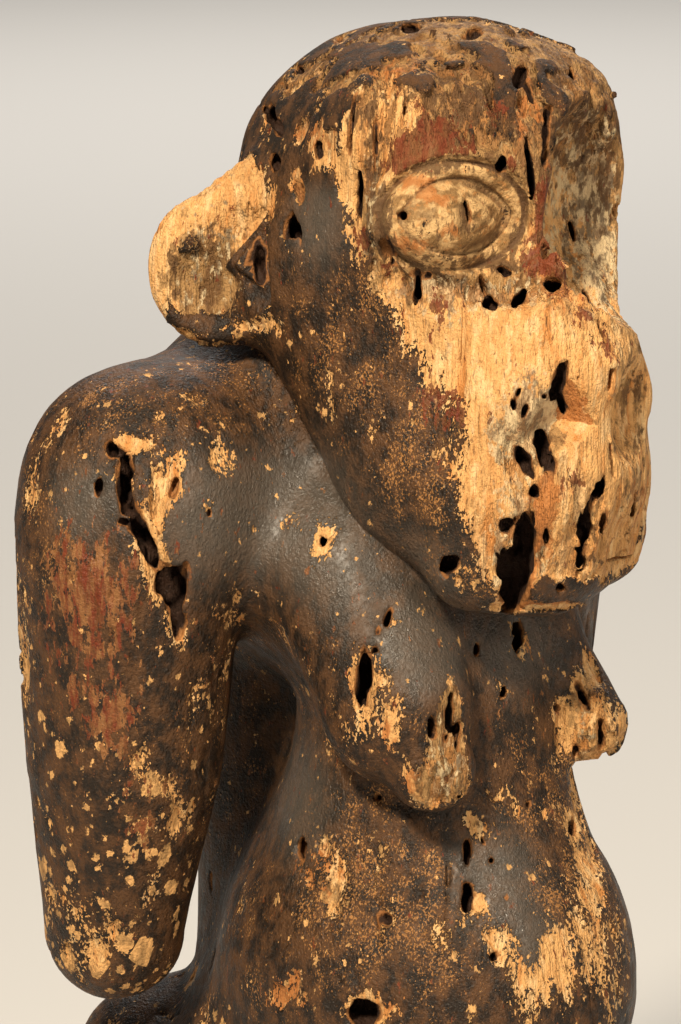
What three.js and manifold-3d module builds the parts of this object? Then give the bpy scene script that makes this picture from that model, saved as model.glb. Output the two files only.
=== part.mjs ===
// A carved wooden figure: a stocky ape-like female with a heavy jutting head, cupped ears, hunched
// shoulders, thick arms, pointed breasts and a swollen belly, on short bent legs and a low round base.
// The whole work is cut from one log, so it is one solid. Millimetres, +Z up, the figure faces -Y and
// its own left side is +X. The origin is the centre of the base's underside.

import * as THREE from "three";
import { mergeVertices } from "three/addons/utils/BufferGeometryUtils.js";
import Module from "manifold-3d";

// Driving dimensions.
const HEIGHT = 437;
const BASE_RADIUS = 84;
const BASE_HEIGHT = 22;
const CHIN_Z = 288;
const HALF_HEAD = 43;
const EAR = [-46, 8, 374];
const EYE = [-28, -57, 389];
const SHOULDER_X = 62;
const SHOULDER_Z = 318;
const ARM_RADIUS = 26;
const ARM_END_RADIUS = 19;
const ARM_END_Z = 183;
const NIPPLE = [-31, -54, 256];
const LEFT_NIPPLE = [29, -50, 255];
const BELLY_Z = 188;
const BELLY_RADIUS = 53;
const SEAT_Z = 146;
const KNEE_Z = 84;

// Each skin is drawn on a grid of cells in a room that clears its form all round. The head's cells
// are finer than the body's, because it holds the carving.
const HEAD_ROOM = { low: [-78, -98, 274], high: [78, 56, 448], cell: 5.7 };
const BODY_ROOM = { low: [-108, -98, 2], high: [108, 102, 410], cell: 9.8 };

// Every form is a function of a point that gives about how far the point lies from its surface,
// less than zero inside the wood.
const ellipsoid = (centre, radii, nod = 0) => {
  const [cx, cy, cz] = centre;
  const [rx, ry, rz] = radii;
  const cos = Math.cos(THREE.MathUtils.degToRad(nod));
  const sin = Math.sin(THREE.MathUtils.degToRad(nod));
  return (x, y, z) => {
    const px = x - cx;
    const py = (y - cy) * cos + (z - cz) * sin;
    const pz = (z - cz) * cos - (y - cy) * sin;
    const near = Math.hypot(px / rx, py / ry, pz / rz);
    const steep = Math.hypot(px / rx ** 2, py / ry ** 2, pz / rz ** 2);
    return steep > 0 ? (near * (near - 1)) / steep : -Math.min(rx, ry, rz);
  };
};

// A limb runs through stations of [x, y, z, radius], round all the way and at both ends.
const limb = (...stations) => (x, y, z) => {
  let nearest = Infinity;
  for (let i = 1; i < stations.length; i++) {
    const [ax, ay, az, ar] = stations[i - 1];
    const [bx, by, bz, br] = stations[i];
    const [ux, uy, uz] = [bx - ax, by - ay, bz - az];
    const along = ((x - ax) * ux + (y - ay) * uy + (z - az) * uz) / (ux * ux + uy * uy + uz * uz);
    const t = Math.min(1, Math.max(0, along));
    const gap = Math.hypot(x - ax - t * ux, y - ay - t * uy, z - az - t * uz);
    nearest = Math.min(nearest, gap - (ar + t * (br - ar)));
  }
  return nearest;
};

// Joins two distances with a fillet of about that size, and cuts one form out of another.
const blend = (a, b, fillet) => {
  const h = Math.max(fillet - Math.abs(a - b), 0) / fillet;
  return Math.min(a, b) - (h * h * fillet) / 4;
};
const carve = (wood, tool, fillet) => -blend(-wood, tool, fillet);

// Adds each [form, fillet] to the first form. A form on the right side is met again on the left.
const gather = (first, ...more) => (x, y, z) => {
  let d = first(x, y, z);
  for (const [form, fillet] of more) d = blend(d, form(x, y, z), fillet);
  return d;
};
const paired = (form) => (x, y, z) => form(-Math.abs(x), y, z);

// The head: a domed skull that runs down and forward into a long blunt muzzle.
const skull = ellipsoid([0, -15, HEIGHT - 50], [HALF_HEAD, 51, 47], 14);
const forehead = ellipsoid([0, -35, HEIGHT - 48], [39, 36, 45]);
const browCorner = ellipsoid([-26, -36, HEIGHT - 25], [16, 16, 14]);
const muzzle = ellipsoid([0, -47, CHIN_Z + 47], [33, 36, 42], -14);
const cheek = limb([-24, -8, 368, 20], [-20, -38, 326, 20]);
const nose = limb([0, -62, 388, 7], [0, -73, 356, 11]);
const noseWing = limb([-6, -66, 370, 8], [-16, -66, 346, 11]);
const lip = limb([-20, -60, 322, 14], [0, -65, 322, 14]);
const jaw = limb([-21, -59, CHIN_Z + 18, 12], [0, -62, CHIN_Z + 16, 14]);
const headForm = gather(
  skull,
  [forehead, 16],
  [paired(browCorner), 14],
  [muzzle, 22],
  [paired(cheek), 18],
  [nose, 12],
  [paired(noseWing), 12],
  [paired(lip), 10],
  [paired(jaw), 10],
);

// The right eye bulges between lids in a shallow socket. Insects have eaten the left eye out, which
// leaves the end of that brow standing, and a slot into the right side of the mouth. The wide
// nostrils are the carver's.
const socket = ellipsoid([EYE[0] - 2, EYE[1] - 11, EYE[2] + 1], [21, 11, 16]);
const lids = ellipsoid([EYE[0] + 2, EYE[1] + 8, EYE[2] + 2], [19, 15, 14]);
const eatenEye = ellipsoid([19, -70, EYE[2] + 2], [24, 20, 25]);
const leftBrowEnd = ellipsoid([34, -42, 396], [9, 9, 13]);
const eatenMouth = ellipsoid([-20, -72, CHIN_Z + 20], [4.5, 11, 11]);
const nostril = ellipsoid([-14, -82, 343], [8, 8, 11]);

// A cupped ear: a round plate that leans out and back, fuller at the top where it meets the head, with
// a broad dish in its front.
const EAR_LEAN = THREE.MathUtils.degToRad(38);
const earFrame = (form) => (x, y, z) => {
  const px = x - EAR[0];
  const py = y - EAR[1];
  const across = px * Math.cos(EAR_LEAN) - py * Math.sin(EAR_LEAN);
  const through = px * Math.sin(EAR_LEAN) + py * Math.cos(EAR_LEAN);
  return form(across, through, z - EAR[2]);
};
const earRound = ellipsoid([0, 0, 0], [19, 8, 21]);
const earTop = ellipsoid([9, 1, 15], [13, 6, 13]);
const earPlate = earFrame(gather(earRound, [earTop, 5]));
const earDish = earFrame(ellipsoid([-1, -11, -5], [15, 9, 14]));

const head = (x, y, z) => {
  const side = -Math.abs(x);
  let d = carve(headForm(x, y, z), socket(x, y, z), 5);
  d = blend(d, lids(x, y, z), 3);
  d = carve(d, eatenEye(x, y, z), 4);
  d = blend(d, leftBrowEnd(x, y, z), 6);
  d = carve(d, nostril(side, y, z), 4);
  d = carve(d, eatenMouth(x, y, z), 1);
  const ear = carve(earPlate(side, y, z), earDish(side, y, z), 2);
  return blend(d, ear, 8);
};

// The body: a deep hunched back, shoulders and arms set behind the chest, belly, seat and legs.
const back = limb([0, 24, SHOULDER_Z, 34], [0, 35, 265, 24], [0, 34, 190, 26]);
const hump = ellipsoid([0, 24, SHOULDER_Z], [58, 40, 46]);
const chest = ellipsoid([0, -10, 296], [46, 36, 40]);
const waist = limb([0, -20, 262, 33], [0, -20, 238, 38]);
const belly = ellipsoid([0, -20, BELLY_Z], [BELLY_RADIUS, BELLY_RADIUS + 5, 60]);
const seat = ellipsoid([0, 18, SEAT_Z + 8], [50, 40, 40]);
const buttock = ellipsoid([-26, 54, SEAT_Z], [27, 27, 27]);
const shoulder = ellipsoid([-SHOULDER_X, 19, SHOULDER_Z - 3], [31, 34, 36]);
const arm = limb(
  [-SHOULDER_X - 4, 19, SHOULDER_Z - 16, ARM_RADIUS + 4],
  [-66, 22, 250, ARM_RADIUS],
  [-65, 28, ARM_END_Z + ARM_END_RADIUS, ARM_END_RADIUS],
);
const breast = limb([-28, -22, 298, 22], [NIPPLE[0], -42, NIPPLE[2] + 13, 20], [...NIPPLE, 12]);
const leftBreast = limb([22, -18, 296, 20], [26, -34, LEFT_NIPPLE[2] + 14, 15], [...LEFT_NIPPLE, 11]);
const neck = limb([0, 14, 335, 36], [0, -4, 364, 32]);
const thigh = limb([-33, 14, 138, 31], [-41, -20, KNEE_Z, 23]);
const shin = limb([-41, -20, KNEE_Z, 22], [-42, 10, 40, 17]);
const foot = limb([-42, 16, 31, 15], [-45, -44, 27, 13]);

const body = gather(
  back,
  [hump, 18],
  [paired(shoulder), 20],
  [chest, 18],
  [waist, 10],
  [belly, 12],
  [seat, 14],
  [paired(buttock), 10],
  [breast, 8],
  [leftBreast, 8],
  [neck, 14],
  [paired(thigh), 12],
  [paired(shin), 6],
  [paired(foot), 8],
  [paired(arm), 4],
);

// Wraps the surface of a field in a closed skin of quads: one corner for each sheet of the surface in
// a grid cell, and one quad round each grid edge that the surface crosses.
function skin(field, { low, high, cell }) {
  const counts = low.map((value, i) => Math.ceil((high[i] - value) / cell) + 1);
  const [nx, ny, nz] = counts;
  const at = (i, j, k) => i + nx * (j + ny * k);
  const values = new Float32Array(nx * ny * nz);
  for (let k = 0; k < nz; k++)
    for (let j = 0; j < ny; j++)
      for (let i = 0; i < nx; i++)
        values[at(i, j, k)] = field(low[0] + i * cell, low[1] + j * cell, low[2] + k * cell);

  // A cell's edge is known by its axis and by the one of the cell's eight corners that it starts from.
  const CORNERS = 8;
  const edgeKey = (axis, from) => axis * CORNERS + from[0] + 2 * from[1] + 4 * from[2];
  const slot = (cellIndex, key) => cellIndex * 3 * CORNERS + key;
  const corners = [];
  const cornerOf = new Map();
  const wrapCell = (i, j, k) => {
    const crossings = new Map();
    const wood = (c) => values[at(i + c[0], j + c[1], k + c[2])] < 0;
    for (let axis = 0; axis < 3; axis++)
      for (let n = 0; n < CORNERS; n++) {
        const from = [n & 1, (n >> 1) & 1, n >> 2];
        if (from[axis]) continue;
        const to = [...from];
        to[axis] = 1;
        if (wood(from) === wood(to)) continue;
        const v0 = values[at(i + from[0], j + from[1], k + from[2])];
        const v1 = values[at(i + to[0], j + to[1], k + to[2])];
        const point = [...from];
        point[axis] = v0 / (v0 - v1);
        crossings.set(edgeKey(axis, from), { point, sheet: null });
      }
    // On each face of the cell, two crossings next to the same piece of wood are on one sheet.
    const sheetOf = (crossing) => (crossing.sheet ? sheetOf(crossing.sheet) : crossing);
    const join = (a, b) => {
      const [p, q] = [sheetOf(a), sheetOf(b)];
      if (p !== q) p.sheet = q;
    };
    for (let normal = 0; normal < 3; normal++)
      for (let level = 0; level < 2; level++) {
        const [u, v] = [(normal + 1) % 3, (normal + 2) % 3];
        const corner = (a, b) => {
          const c = [0, 0, 0];
          c[normal] = level;
          c[u] = a;
          c[v] = b;
          return c;
        };
        const onFace = [
          edgeKey(u, corner(0, 0)),
          edgeKey(v, corner(1, 0)),
          edgeKey(u, corner(0, 1)),
          edgeKey(v, corner(0, 0)),
        ].map((key) => crossings.get(key));
        const crossed = onFace.filter(Boolean);
        if (crossed.length === 2) join(...crossed);
        if (crossed.length === 4) {
          const first = wood(corner(0, 0)) ? 0 : 1;
          join(onFace[first], onFace[(first + 3) % 4]);
          join(onFace[first + 1], onFace[first + 2]);
        }
      }
    const sheets = new Map();
    for (const [key, crossing] of crossings) {
      const sheet = sheetOf(crossing);
      if (!sheets.has(sheet)) sheets.set(sheet, []);
      sheets.get(sheet).push([key, crossing.point]);
    }
    for (const members of sheets.values()) {
      const middle = [0, 1, 2].map(
        (axis) => members.reduce((sum, [, point]) => sum + point[axis], 0) / members.length,
      );
      const index = corners.length / 3;
      corners.push(...[i, j, k].map((n, axis) => low[axis] + (n + middle[axis]) * cell));
      for (const [key] of members) cornerOf.set(slot(at(i, j, k), key), index);
    }
  };
  for (let k = 0; k < nz - 1; k++)
    for (let j = 0; j < ny - 1; j++) for (let i = 0; i < nx - 1; i++) wrapCell(i, j, k);

  const faces = [];
  const quad = (a, b, c, d, flip) => {
    const away = (p, q) =>
      Math.hypot(...[0, 1, 2].map((n) => corners[3 * p + n] - corners[3 * q + n]));
    const split = away(a, c) < away(b, d) ? [a, b, c, a, c, d] : [b, c, d, b, d, a];
    faces.push(...(flip ? split.reverse() : split));
  };
  for (let k = 1; k < nz - 1; k++)
    for (let j = 1; j < ny - 1; j++)
      for (let i = 1; i < nx - 1; i++)
        for (let axis = 0; axis < 3; axis++) {
          const [u, v] = [(axis + 1) % 3, (axis + 2) % 3];
          const here = [i, j, k];
          const next = [i, j, k];
          next[axis] += 1;
          const inside = values[at(...here)] < 0;
          if (inside === values[at(...next)] < 0) continue;
          const ring = [
            [1, 1],
            [0, 1],
            [0, 0],
            [1, 0],
          ].map(([a, b]) => {
            const owner = [...here];
            owner[u] -= a;
            owner[v] -= b;
            const from = [0, 0, 0];
            from[u] = a;
            from[v] = b;
            return cornerOf.get(slot(at(...owner), edgeKey(axis, from)));
          });
          quad(...ring, !inside);
        }

  // Draws each corner onto the surface along the field's slope, by at most a fifth of a cell a pass.
  const PASSES = 3;
  const SLOPE_STEP = 0.5;
  const LEAST_STEEP = 0.25;
  for (let pass = 0; pass < PASSES; pass++)
    for (let n = 0; n < corners.length; n += 3) {
      const p = corners.slice(n, n + 3);
      const here = field(...p);
      const slope = p.map((value, axis) => {
        const q = [...p];
        q[axis] = value + SLOPE_STEP;
        return (field(...q) - here) / SLOPE_STEP;
      });
      const steep = Math.max(slope[0] ** 2 + slope[1] ** 2 + slope[2] ** 2, LEAST_STEEP);
      const reach = THREE.MathUtils.clamp(here / steep, -cell / 5, cell / 5);
      for (let axis = 0; axis < 3; axis++) corners[n + axis] -= reach * slope[axis];
    }
  const geometry = new THREE.BufferGeometry();
  geometry.setAttribute("position", new THREE.Float32BufferAttribute(corners, 3));
  geometry.setIndex(faces);
  return geometry;
}

// Joins the skins into one solid with manifold-3d.
const wasm = await Module();
wasm.setup();

function solidOf(geometry) {
  const bare = geometry.clone();
  bare.deleteAttribute("normal");
  bare.deleteAttribute("uv");
  const merged = mergeVertices(bare, 1e-4);
  const vertProperties = new Float32Array(merged.attributes.position.array);
  const triVerts = new Uint32Array(merged.index.array);
  return new wasm.Manifold(new wasm.Mesh({ numProp: 3, vertProperties, triVerts }));
}

function geometryOf(solid) {
  const mesh = solid.getMesh();
  const geometry = new THREE.BufferGeometry();
  geometry.setAttribute("position", new THREE.BufferAttribute(mesh.vertProperties, 3));
  geometry.setIndex(new THREE.BufferAttribute(mesh.triVerts, 1));
  return geometry;
}

// The low base is a thick round disc with a softened rim, left from the foot of the log.
function baseDisc() {
  const sides = 48;
  const bevel = 3;
  const lowBevel = 1;
  const profile = [
    [0, 0],
    [BASE_RADIUS - lowBevel, 0],
    [BASE_RADIUS, lowBevel],
    [BASE_RADIUS, BASE_HEIGHT - bevel],
    [BASE_RADIUS - bevel, BASE_HEIGHT],
    [0, BASE_HEIGHT],
  ].map(([r, z]) => new THREE.Vector2(r, z));
  return new THREE.LatheGeometry(profile, sides).rotateX(Math.PI / 2);
}

const bodySolid = solidOf(skin(body, BODY_ROOM));
const headSolid = solidOf(skin(head, HEAD_ROOM));
const figureSolid = bodySolid.add(headSolid).add(solidOf(baseDisc()));

const wood = new THREE.MeshStandardMaterial({ color: 0x3a2c20, roughness: 0.6, metalness: 0 });
const figure = new THREE.Mesh(geometryOf(figureSolid), wood);
figure.name = "figure";

const group = new THREE.Group();
group.add(figure);
export default group;
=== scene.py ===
# A carved wooden figure, cut from one log: a stocky ape-like female with a heavy jutting head,
# cupped ears, hunched shoulders, thick arms, pointed breasts and a swollen belly, on short bent legs
# and a low round base. The wood is dark with old crust, flaked off to bare wood and eaten by insects.
# Shapes are worked out in millimetres, +Z up, with the figure facing -Y and its own left side at +X.

import math
from concurrent.futures import ThreadPoolExecutor

import bmesh
import bpy
import numpy as np
import openvdb
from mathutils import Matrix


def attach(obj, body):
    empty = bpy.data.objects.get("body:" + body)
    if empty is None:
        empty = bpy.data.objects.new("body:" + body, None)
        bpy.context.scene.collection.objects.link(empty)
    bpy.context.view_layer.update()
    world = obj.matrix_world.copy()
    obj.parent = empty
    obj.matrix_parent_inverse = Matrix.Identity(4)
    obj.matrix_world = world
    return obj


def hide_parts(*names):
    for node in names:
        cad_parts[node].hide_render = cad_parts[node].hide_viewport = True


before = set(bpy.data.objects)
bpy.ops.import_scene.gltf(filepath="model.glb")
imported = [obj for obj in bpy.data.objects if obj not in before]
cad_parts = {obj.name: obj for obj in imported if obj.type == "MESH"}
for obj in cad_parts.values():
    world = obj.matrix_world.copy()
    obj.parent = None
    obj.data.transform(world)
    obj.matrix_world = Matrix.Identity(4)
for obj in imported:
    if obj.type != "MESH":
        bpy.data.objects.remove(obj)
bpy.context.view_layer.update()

# The camera looks at the figure's right front from a little above its eyes, from about a metre.
# The long lens fills the upright picture with the head, the breasts and the belly.
PHOTO_WIDTH = 681
PHOTO_HEIGHT = 1024
FOCAL_PIXELS = 4000
SENSOR_MM = 36
CAMERA_AZIMUTH = math.radians(-42)
CAMERA_ELEVATION = math.radians(12.7)
CAMERA_DISTANCE = 1000
CAMERA_TARGET = np.array([-26, -15.4, 313])
METRE = 0.001
FARTHEST_METRES = 50

towards_camera = np.array(
    [
        math.sin(CAMERA_AZIMUTH) * math.cos(CAMERA_ELEVATION),
        -math.cos(CAMERA_AZIMUTH) * math.cos(CAMERA_ELEVATION),
        math.sin(CAMERA_ELEVATION),
    ]
)
picture_right = np.array([math.cos(CAMERA_AZIMUTH), math.sin(CAMERA_AZIMUTH), 0])
picture_up = np.cross(towards_camera, picture_right)
camera_place = CAMERA_TARGET + CAMERA_DISTANCE * towards_camera


def stand(thing, place, right, up, back):
    """Puts a camera or lamp at a place in mm, with its own axes along the three directions."""
    for row in range(3):
        for column, axis in enumerate((right, up, back)):
            thing.matrix_world[row][column] = axis[row]
        thing.matrix_world[row][3] = place[row] * METRE


lens = bpy.data.cameras.new("camera")
lens.sensor_fit = "VERTICAL"
lens.sensor_height = SENSOR_MM
lens.lens = SENSOR_MM * FOCAL_PIXELS / PHOTO_HEIGHT
lens.clip_end = FARTHEST_METRES
camera = bpy.data.objects.new("camera", lens)
bpy.context.scene.collection.objects.link(camera)
stand(camera, camera_place, picture_right, picture_up, towards_camera)
bpy.context.scene.camera = camera
bpy.context.scene.view_settings.view_transform = "Standard"

# The studio: a wide plain pale floor, a warm key lamp high on the camera's left, a softer one on its
# right, one behind that catches the edges, one that lights the floor behind, and an even pale room.
FLOOR_HALF = 9.0
FLOOR_COLOUR = (0.56, 0.545, 0.52, 1)
FLOOR_ROUGHNESS = 0.9
ROOM_COLOUR = (0.92, 0.89, 0.84, 1)
ROOM_STRENGTH = 0.11
LAMP_DISTANCE = 1500
LAMPS = {
    "key_lamp": (-62, 43, 0.20, 41, (1.0, 0.86, 0.66)),
    "fill_lamp": (-2, 26, 0.5, 11, (1.0, 0.86, 0.68)),
    "edge_lamp": (110, 50, 0.8, 10, (1.0, 0.93, 0.84)),
}

floor_mesh = bpy.data.meshes.new("floor")
floor_mesh.from_pydata(
    [
        (-FLOOR_HALF, -FLOOR_HALF, 0),
        (FLOOR_HALF, -FLOOR_HALF, 0),
        (FLOOR_HALF, FLOOR_HALF, 0),
        (-FLOOR_HALF, FLOOR_HALF, 0),
    ],
    [],
    [(0, 1, 2, 3)],
)
floor = bpy.data.objects.new("floor", floor_mesh)
bpy.context.scene.collection.objects.link(floor)
floor_paint = bpy.data.materials.new("pale_floor")
floor_paint.use_nodes = True
floor_shader = floor_paint.node_tree.nodes["Principled BSDF"]
floor_shader.inputs["Base Color"].default_value = FLOOR_COLOUR
floor_shader.inputs["Roughness"].default_value = FLOOR_ROUGHNESS
floor_mesh.materials.append(floor_paint)

room = bpy.data.worlds.new("room")
room.use_nodes = True
room.node_tree.nodes["Background"].inputs["Color"].default_value = ROOM_COLOUR
room.node_tree.nodes["Background"].inputs["Strength"].default_value = ROOM_STRENGTH
bpy.context.scene.world = room

for name, (azimuth, elevation, size, power, colour) in LAMPS.items():
    side, height = math.radians(azimuth), math.radians(elevation)
    back = np.array(
        [math.sin(side) * math.cos(height), -math.cos(side) * math.cos(height), math.sin(height)]
    )
    right = np.array([math.cos(side), math.sin(side), 0])
    light = bpy.data.lights.new(name, "AREA")
    light.shape = "DISK"
    light.size = size
    light.energy = power
    light.color = colour
    lamp = bpy.data.objects.new(name, light)
    bpy.context.scene.collection.objects.link(lamp)
    stand(lamp, CAMERA_TARGET + LAMP_DISTANCE * back, right, np.cross(back, right), back)

FLOOR_LAMP_HEIGHT = 2400
FLOOR_LAMP_BEHIND = 3400
FLOOR_LAMP_SIZE = 3.0
FLOOR_LAMP_POWER = 95
FLOOR_LAMP_COLOUR = (1.0, 0.96, 0.91)
down_light = bpy.data.lights.new("floor_lamp", "AREA")
down_light.shape = "DISK"
down_light.size = FLOOR_LAMP_SIZE
down_light.energy = FLOOR_LAMP_POWER
down_light.color = FLOOR_LAMP_COLOUR
down_lamp = bpy.data.objects.new("floor_lamp", down_light)
bpy.context.scene.collection.objects.link(down_lamp)
far_back = np.cross((0, 0, 1), picture_right)
stand(down_lamp, FLOOR_LAMP_BEHIND * far_back + (0, 0, FLOOR_LAMP_HEIGHT), (1, 0, 0), (0, 1, 0), (0, 0, 1))

# The figure's carved form: the same rounded masses as the solid model's, each given as about how far
# a point lies from its surface, less than zero inside the wood, and joined with fillets.
HEIGHT = 437
BASE_RADIUS = 84
BASE_HEIGHT = 22
CHIN_Z = 288
HALF_HEAD = 43
EAR = (-46, 8, 374)
EYE = (-28, -57, 389)
SHOULDER_X = 62
SHOULDER_Z = 318
ARM_RADIUS = 26
ARM_END_RADIUS = 19
ARM_END_Z = 183
NIPPLE = (-31, -54, 256)
LEFT_NIPPLE = (29, -50, 255)
BELLY_Z = 188
BELLY_RADIUS = 53
SEAT_Z = 146
KNEE_Z = 84


def ellipsoid(centre, radii, nod=0):
    cos, sin = math.cos(math.radians(nod)), math.sin(math.radians(nod))
    (cx, cy, cz), (rx, ry, rz) = centre, radii

    def distance(x, y, z):
        px = x - cx
        py = (y - cy) * cos + (z - cz) * sin
        pz = (z - cz) * cos - (y - cy) * sin
        near = np.sqrt((px / rx) ** 2 + (py / ry) ** 2 + (pz / rz) ** 2)
        steep = np.sqrt((px / rx**2) ** 2 + (py / ry**2) ** 2 + (pz / rz**2) ** 2)
        return near * (near - 1) / np.maximum(steep, 1e-6)

    return distance


def limb(*stations):
    """A round limb through stations of (x, y, z, radius)."""

    def distance(x, y, z):
        nearest = 1e6
        for (ax, ay, az, ar), (bx, by, bz, br) in zip(stations, stations[1:]):
            ux, uy, uz = bx - ax, by - ay, bz - az
            along = ((x - ax) * ux + (y - ay) * uy + (z - az) * uz) / (ux * ux + uy * uy + uz * uz)
            t = np.clip(along, 0, 1)
            gap = np.sqrt((x - ax - t * ux) ** 2 + (y - ay - t * uy) ** 2 + (z - az - t * uz) ** 2)
            nearest = np.minimum(nearest, gap - (ar + t * (br - ar)))
        return nearest

    return distance


def blend(a, b, fillet):
    h = np.maximum(fillet - np.abs(a - b), 0) / fillet
    return np.minimum(a, b) - h * h * fillet / 4


def carve(wood, tool, fillet):
    return -blend(-wood, tool, fillet)


def gather(first, *more):
    def distance(x, y, z):
        d = first(x, y, z)
        for form, fillet in more:
            d = blend(d, form(x, y, z), fillet)
        return d

    return distance


def paired(form):
    return lambda x, y, z: form(-np.abs(x), y, z)


head_form = gather(
    ellipsoid((0, -15, HEIGHT - 50), (HALF_HEAD, 51, 47), 14),
    (ellipsoid((0, -35, HEIGHT - 48), (39, 36, 45)), 16),
    (paired(ellipsoid((-26, -36, HEIGHT - 25), (16, 16, 14))), 14),
    (ellipsoid((0, -47, CHIN_Z + 47), (33, 36, 42), -14), 22),
    (paired(limb((-24, -8, 368, 20), (-20, -38, 326, 20))), 18),
    (limb((0, -62, 388, 7), (0, -73, 356, 11)), 12),
    (paired(limb((-6, -66, 370, 8), (-16, -66, 346, 11))), 12),
    (paired(limb((-20, -60, 322, 14), (0, -65, 322, 14))), 10),
    (paired(limb((-21, -59, CHIN_Z + 18, 12), (0, -62, CHIN_Z + 16, 14))), 10),
)
socket = ellipsoid((EYE[0] - 2, EYE[1] - 11, EYE[2] + 1), (21, 11, 16))
lids = ellipsoid((EYE[0] + 2, EYE[1] + 8, EYE[2] + 2), (19, 15, 14))
eaten_eye = ellipsoid((19, -70, EYE[2] + 2), (24, 20, 25))
left_brow_end = ellipsoid((34, -42, 396), (9, 9, 13))
left_nostril = ellipsoid((14, -82, 343), (8, 8, 11))

EAR_LEAN = math.radians(38)


def ear_frame(form):
    def distance(x, y, z):
        px, py = x - EAR[0], y - EAR[1]
        across = px * math.cos(EAR_LEAN) - py * math.sin(EAR_LEAN)
        through = px * math.sin(EAR_LEAN) + py * math.cos(EAR_LEAN)
        return form(across, through, z - EAR[2])

    return distance


ear_plate = ear_frame(
    gather(ellipsoid((0, 0, 0), (19, 8, 21)), (ellipsoid((9, 1, 15), (13, 6, 13)), 5))
)
ear_dish = ear_frame(ellipsoid((-1, -11, -5), (15, 9, 14)))


def head(x, y, z):
    side = -np.abs(x)
    d = carve(head_form(x, y, z), socket(x, y, z), 5)
    d = blend(d, lids(x, y, z), 3)
    d = carve(d, eaten_eye(x, y, z), 4)
    d = blend(d, left_brow_end(x, y, z), 6)
    d = carve(d, left_nostril(x, y, z), 4)
    ear = carve(ear_plate(side, y, z), ear_dish(side, y, z), 2)
    return blend(d, ear, 8)


body = gather(
    limb((0, 24, SHOULDER_Z, 34), (0, 35, 265, 24), (0, 34, 190, 26)),
    (ellipsoid((0, 24, SHOULDER_Z), (58, 40, 46)), 18),
    (paired(ellipsoid((-SHOULDER_X, 19, SHOULDER_Z - 3), (31, 34, 36))), 20),
    (ellipsoid((0, -10, 296), (46, 36, 40)), 18),
    (limb((0, -20, 262, 33), (0, -20, 238, 38)), 10),
    (ellipsoid((0, -20, BELLY_Z), (BELLY_RADIUS, BELLY_RADIUS + 5, 60)), 12),
    (ellipsoid((0, 18, SEAT_Z + 8), (50, 40, 40)), 14),
    (paired(ellipsoid((-26, 54, SEAT_Z), (27, 27, 27))), 10),
    (limb((-28, -22, 298, 22), (NIPPLE[0], -42, NIPPLE[2] + 13, 20), (*NIPPLE, 12)), 8),
    (limb((22, -18, 296, 20), (26, -34, LEFT_NIPPLE[2] + 14, 15), (*LEFT_NIPPLE, 11)), 8),
    (limb((0, 14, 335, 36), (0, -4, 364, 32)), 14),
    (paired(limb((-33, 14, 138, 31), (-41, -20, KNEE_Z, 23))), 12),
    (paired(limb((-41, -20, KNEE_Z, 22), (-42, 10, 40, 17))), 6),
    (paired(limb((-42, 16, 31, 15), (-45, -44, 27, 13))), 8),
    (
        paired(
            limb(
                (-SHOULDER_X - 4, 19, SHOULDER_Z - 16, ARM_RADIUS + 4),
                (-66, 22, 250, ARM_RADIUS),
                (-65, 28, ARM_END_Z + ARM_END_RADIUS, ARM_END_RADIUS),
            )
        ),
        4,
    ),
)


def base_disc(x, y, z):
    """The round foot of the log, with a softened upper rim."""
    rounding = 3
    outside = np.hypot(x, y) - (BASE_RADIUS - rounding)
    above = np.abs(z - BASE_HEIGHT / 2) - (BASE_HEIGHT / 2 - rounding)
    rounded = np.hypot(np.maximum(outside, 0), np.maximum(above, 0)) + np.minimum(
        np.maximum(outside, above), 0
    )
    squared_foot = np.maximum(outside - rounding, np.maximum(z - BASE_HEIGHT / 2, -z))
    return np.minimum(rounded - rounding, squared_foot)


def form(x, y, z):
    return np.minimum(np.minimum(body(x, y, z), head(x, y, z)), base_disc(x, y, z))


SIGHT_START = CAMERA_DISTANCE - 200.0
SIGHT_STEPS = 70


def under_pixels(pixels):
    """The points of the carved form that lie under pixels of the photograph."""
    pixels = np.asarray(pixels, float)
    rays = (
        np.outer(pixels[:, 0] - PHOTO_WIDTH / 2, picture_right)
        + np.outer(PHOTO_HEIGHT / 2 - pixels[:, 1], picture_up)
        - FOCAL_PIXELS * towards_camera
    )
    rays /= np.linalg.norm(rays, axis=1)[:, None]
    reach = np.full(len(rays), SIGHT_START)
    for _ in range(SIGHT_STEPS):
        points = camera_place + rays * reach[:, None]
        reach += 0.7 * np.clip(form(*points.T), -20, 20)
    return camera_place + rays * reach[:, None]


def in_picture(place, x, y, z):
    """How far points lie from a place: to the picture's right, up it, and towards the camera."""
    offsets = (x - place[0], y - place[1], z - place[2])
    return tuple(
        sum(offset * part for offset, part in zip(offsets, axis))
        for axis in (picture_right, picture_up, towards_camera)
    )


def smooth(low, high, value):
    t = np.clip((value - low) / (high - low), 0, 1)
    return t * t * (3 - 2 * t)


LATTICE = 48


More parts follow.
